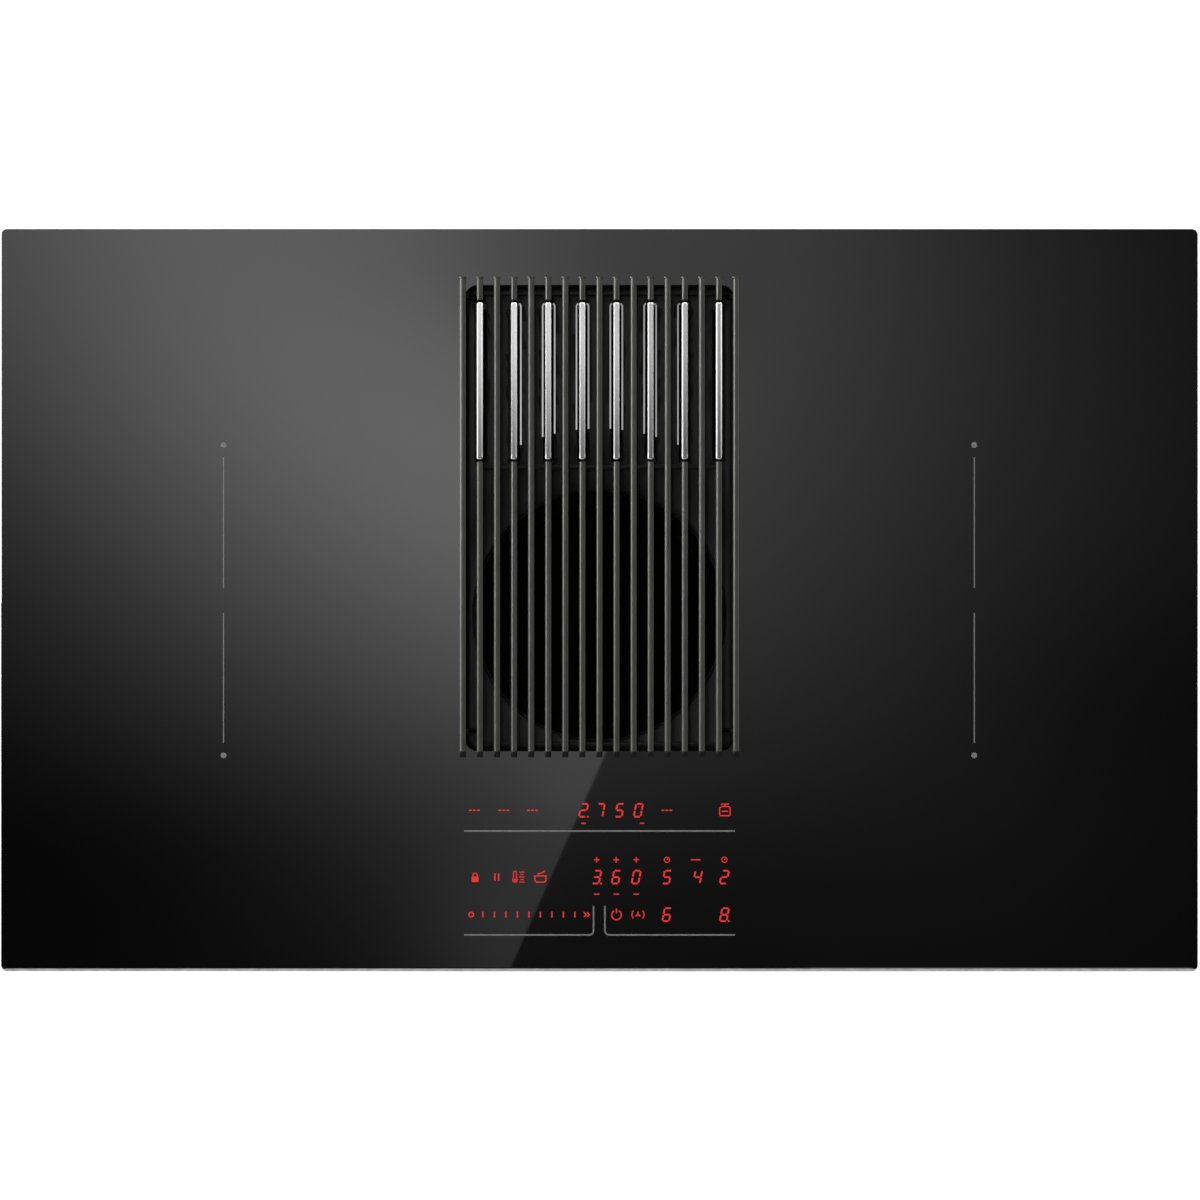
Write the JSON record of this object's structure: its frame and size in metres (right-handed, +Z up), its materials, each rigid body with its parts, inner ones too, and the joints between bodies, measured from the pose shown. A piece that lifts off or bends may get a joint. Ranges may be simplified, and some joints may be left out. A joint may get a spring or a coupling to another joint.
{
  "type": "downdraft induction cooktop",
  "caption": "Built-in black glass induction cooktop with a central recessed extractor grille, steel weighing blades, and a downdraft blower below.",
  "frame": {"origin": "middle of the cooktop's outline, at the level of the blower housing's underside", "axes": "+X across the cooktop to the right, +Y to the rear, +Z up"},
  "size_m": [0.83, 0.515, 0.2173],
  "materials": {
    "black_glass": "glossy black glass ceramic",
    "cast_iron": "matt enamelled casting",
    "bright_steel": "satin polished",
    "black_plastic": "fine moulded grain",
    "grey_plastic": "moulded",
    "silicone": "matt",
    "galvanised_steel": "zinc plated sheet",
    "aluminium": "mill finish",
    "copper_winding": "enamelled strand",
    "circuit_board": "solder mask",
    "red_display": "diffusing"
  },
  "bodies": {
    "cooktop": {"glass_top": "black_glass", "rim_seal": "silicone", "well_seal": "silicone", "well_tray": "black_plastic", "base_tray": "galvanised_steel", "cup_cradle": "galvanised_steel", "load_cell": "aluminium", "blower_base": "black_plastic", "blower_lid": "black_plastic", "blower_motor": "galvanised_steel", "outlet_collar": "grey_plastic", "suction_duct": "grey_plastic", "drain_elbow": "silicone", "hanger_left": "galvanised_steel", "hanger_right": "galvanised_steel", "coil_plate_left": "aluminium", "coil_carrier_left": "black_plastic", "coil_front_left": "copper_winding", "coil_rear_left": "copper_winding", "coil_plate_right": "aluminium", "coil_carrier_right": "black_plastic", "coil_front_right": "copper_winding", "coil_rear_right": "copper_winding", "power_board_left": "circuit_board", "heat_sink_left": "aluminium", "cooling_fan_left": "black_plastic", "power_board_right": "circuit_board", "heat_sink_right": "aluminium", "cooling_fan_right": "black_plastic", "light_guide": "black_plastic", "digit_module": "red_display", "touch_board": "circuit_board", "panel_bracket": "galvanised_steel", "terminal_box": "grey_plastic", "cable_gland": "black_plastic", "worktop_clamp_front_left": "galvanised_steel", "worktop_clamp_rear_left": "galvanised_steel", "worktop_clamp_front_right": "galvanised_steel", "worktop_clamp_rear_right": "galvanised_steel"},
    "grille": {"grille": "cast_iron", "grille_pad_front_left": "silicone", "grille_pad_front_right": "silicone", "grille_pad_rear_left": "silicone", "grille_pad_rear_right": "silicone"},
    "scale": {"scale_platform": "aluminium", "scale_blade_1": "bright_steel", "scale_blade_2": "bright_steel", "scale_blade_3": "bright_steel", "scale_blade_4": "bright_steel", "scale_blade_5": "bright_steel", "scale_blade_6": "bright_steel", "scale_blade_7": "bright_steel", "scale_blade_8": "bright_steel"},
    "filter": {"filter_frame": "black_plastic", "filter_mesh": "aluminium"},
    "impeller": {"impeller_hub": "grey_plastic", "impeller_vane_ring": "grey_plastic"},
    "fan_left": {"cooling_rotor_left": "grey_plastic"},
    "fan_right": {"cooling_rotor_right": "grey_plastic"},
    "cup": {"drip_cup": "grey_plastic"}
  },
  "joints": [
    {"name": "grille_lift", "type": "slide", "parent": "cooktop", "child": "grille", "axis": [0, 0, 1], "range_m": [0, 0.2]},
    {"name": "filter_lift", "type": "slide", "parent": "cooktop", "child": "filter", "axis": [0, 0, 1], "range_m": [0, 0.1]},
    {"name": "scale_press", "type": "slide", "parent": "cooktop", "child": "scale", "axis": [0, 0, -1], "range_m": [0, 0.0004], "stiffness_N_per_m": 60000},
    {"name": "impeller_spin", "type": "hinge", "parent": "cooktop", "child": "impeller", "pos_m": [0, -0.0104, 0.045], "axis": [0, 0, 1], "continuous": true},
    {"name": "fan_left_spin", "type": "hinge", "parent": "cooktop", "child": "fan_left", "pos_m": [-0.23, -0.16, 0.16], "axis": [0, 0, 1], "continuous": true},
    {"name": "fan_right_spin", "type": "hinge", "parent": "cooktop", "child": "fan_right", "pos_m": [0.23, -0.16, 0.16], "axis": [0, 0, 1], "continuous": true},
    {"name": "cup_slide", "type": "slide", "parent": "cooktop", "child": "cup", "axis": [0, -1, 0], "range_m": [0, 0.06]}
  ],
  "couplings": [
    {"joint": "filter_lift", "follows": "grille_lift", "ratio": 0.5}
  ]
}
